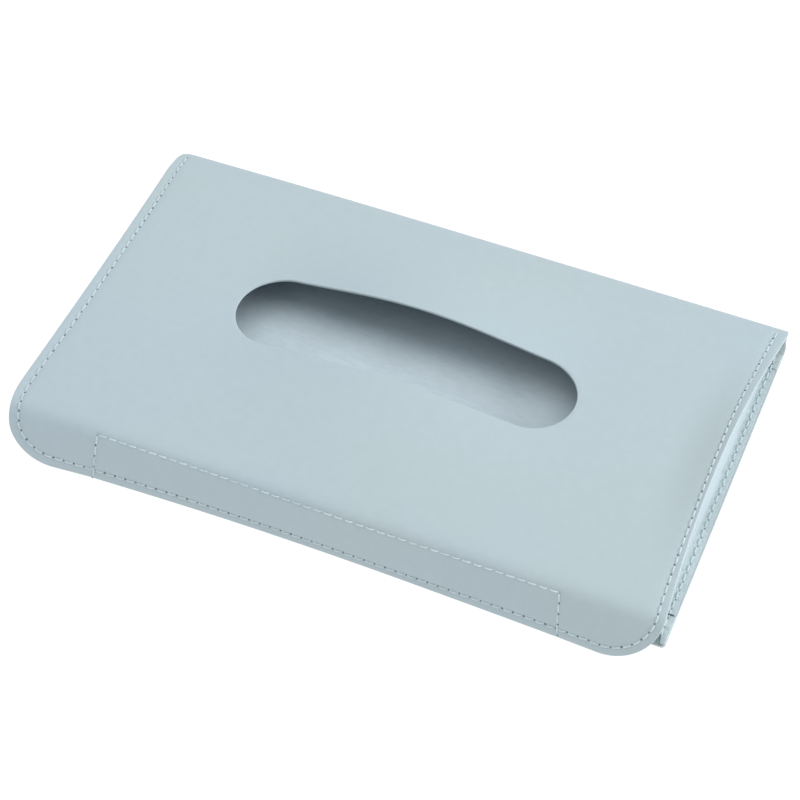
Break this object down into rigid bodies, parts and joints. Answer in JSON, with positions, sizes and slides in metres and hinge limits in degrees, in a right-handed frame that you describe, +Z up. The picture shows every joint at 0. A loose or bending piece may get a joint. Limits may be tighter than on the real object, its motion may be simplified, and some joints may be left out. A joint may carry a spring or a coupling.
{
  "type": "car tissue holder",
  "caption": "Flat soft-leather tissue pouch for a sun visor, with a slotted cover, folded side gussets and a magnetic flap over its mouth.",
  "frame": {"origin": "middle of the pouch, on the surface that it lies on", "axes": "+X along the fold and the mouth, +Y towards the fold, +Z up out of the cover"},
  "size_m": [0.23, 0.1434, 0.0257],
  "materials": {
    "outer_leather": "smooth soft-touch, fine grain",
    "lining_cloth": "brushed fibre",
    "stiffener_board": "matt board",
    "elastic_webbing": "woven elastic",
    "magnet_metal": "plated"
  },
  "bodies": {
    "back": {"back_panel": "outer_leather", "back_stiffener": "stiffener_board", "back_lining": "lining_cloth", "back_magnet_pocket": "outer_leather", "back_magnet_left": "magnet_metal", "back_magnet_middle": "magnet_metal", "back_magnet_right": "magnet_metal", "visor_band_left": "elastic_webbing", "visor_band_right": "elastic_webbing", "spine_fold": "outer_leather", "left_gusset": "outer_leather", "right_gusset": "outer_leather"},
    "cover": {"front_panel": "outer_leather", "front_stiffener": "stiffener_board", "front_lining": "lining_cloth", "flap_crease": "outer_leather"},
    "flap": {"closing_flap": "outer_leather", "flap_magnet_pocket": "outer_leather", "flap_magnet_left": "magnet_metal", "flap_magnet_middle": "magnet_metal", "flap_magnet_right": "magnet_metal"}
  },
  "joints": [
    {"name": "cover_hinge", "type": "hinge", "parent": "back", "child": "cover", "pos_m": [0, 0.06783, 0.00521], "axis": [-1, 0, 0], "range_deg": [0, 7.5], "deforming": ["spine_fold", "left_gusset", "right_gusset"]},
    {"name": "flap_hinge", "type": "hinge", "parent": "cover", "child": "flap", "pos_m": [0, -0.06334, 0.0179], "axis": [-1, 0, 0], "range_deg": [0, 85], "deforming": ["flap_crease"]}
  ]
}
